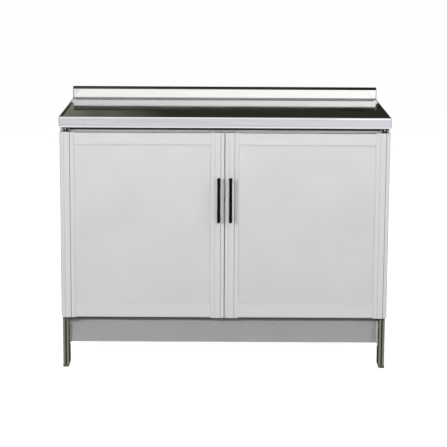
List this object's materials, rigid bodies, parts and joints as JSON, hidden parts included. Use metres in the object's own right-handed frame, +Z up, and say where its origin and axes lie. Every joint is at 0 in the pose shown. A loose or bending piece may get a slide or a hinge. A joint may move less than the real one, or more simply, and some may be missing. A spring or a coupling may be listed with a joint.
{
  "type": "floor cabinet",
  "caption": "Low free-standing kitchen cabinet with a folded steel worktop and rear upstand, framed pivot-hung doors with bar handles, and slim profile legs.",
  "frame": {"origin": "on the floor, under the centre of the whole cabinet's bounding box", "axes": "+Z up, +X to the right as seen from the front, front faces -Y"},
  "size_m": [1, 0.517, 0.8275],
  "materials": {
    "worktop_steel": "mirror-polished stainless sheet",
    "core_board": "raw plywood",
    "post_metal": "polished extruded profile",
    "foot_plastic": "moulded, fine grain",
    "carcass_board": "pale grey laminate",
    "frame_aluminium": "satin anodised",
    "apron_lacquer": "satin grey lacquer",
    "door_panel": "satin light grey coated sheet",
    "black_nylon": "moulded nylon",
    "black_steel": "satin black",
    "handle_chrome": "polished",
    "pin_steel": "polished"
  },
  "bodies": {
    "carcass": {"worktop": "worktop_steel", "worktop_core": "core_board", "post_front_left": "post_metal", "post_front_right": "post_metal", "post_rear_left": "post_metal", "post_rear_right": "post_metal", "foot_cap_front_left": "foot_plastic", "foot_cap_front_right": "foot_plastic", "foot_cap_rear_left": "foot_plastic", "foot_cap_rear_right": "foot_plastic", "side_panel_left": "carcass_board", "side_panel_right": "carcass_board", "back_panel": "carcass_board", "bottom_panel": "carcass_board", "shelf": "carcass_board", "front_top_rail": "frame_aluminium", "rear_top_rail": "frame_aluminium", "front_bottom_rail": "frame_aluminium", "rear_bottom_rail": "frame_aluminium", "shelf_rail_left": "frame_aluminium", "shelf_rail_right": "frame_aluminium", "front_apron": "apron_lacquer", "apron_bracket_left": "apron_lacquer", "apron_bracket_right": "apron_lacquer", "pivot_block_left": "black_nylon", "pivot_block_right": "black_nylon", "magnetic_catch_left": "black_nylon", "magnetic_catch_right": "black_nylon", "pivot_bracket_top_left": "black_steel", "pivot_bracket_top_right": "black_steel", "pivot_bracket_bottom_left": "black_steel", "pivot_bracket_bottom_right": "black_steel", "pivot_pin_top_left": "pin_steel", "pivot_pin_top_right": "pin_steel", "pivot_pin_bottom_left": "pin_steel", "pivot_pin_bottom_right": "pin_steel"},
    "left_door": {"left_door_outer_stile": "frame_aluminium", "left_door_inner_stile": "frame_aluminium", "left_door_top_rail": "frame_aluminium", "left_door_bottom_rail": "frame_aluminium", "left_door_panel": "door_panel", "left_door_top_plug": "black_nylon", "left_door_bottom_plug": "black_nylon", "left_handle_bar": "handle_chrome", "left_handle_upper_post": "handle_chrome", "left_handle_lower_post": "handle_chrome", "left_strike_plate": "pin_steel"},
    "right_door": {"right_door_outer_stile": "frame_aluminium", "right_door_inner_stile": "frame_aluminium", "right_door_top_rail": "frame_aluminium", "right_door_bottom_rail": "frame_aluminium", "right_door_panel": "door_panel", "right_door_top_plug": "black_nylon", "right_door_bottom_plug": "black_nylon", "right_handle_bar": "handle_chrome", "right_handle_upper_post": "handle_chrome", "right_handle_lower_post": "handle_chrome", "right_strike_plate": "pin_steel"}
  },
  "joints": [
    {"name": "left_door_hinge", "type": "hinge", "parent": "carcass", "child": "left_door", "pos_m": [-0.482, -0.2195, 0.166], "axis": [0, 0, -1], "range_deg": [0, 110]},
    {"name": "right_door_hinge", "type": "hinge", "parent": "carcass", "child": "right_door", "pos_m": [0.482, -0.2195, 0.166], "axis": [0, 0, 1], "range_deg": [0, 110]}
  ]
}
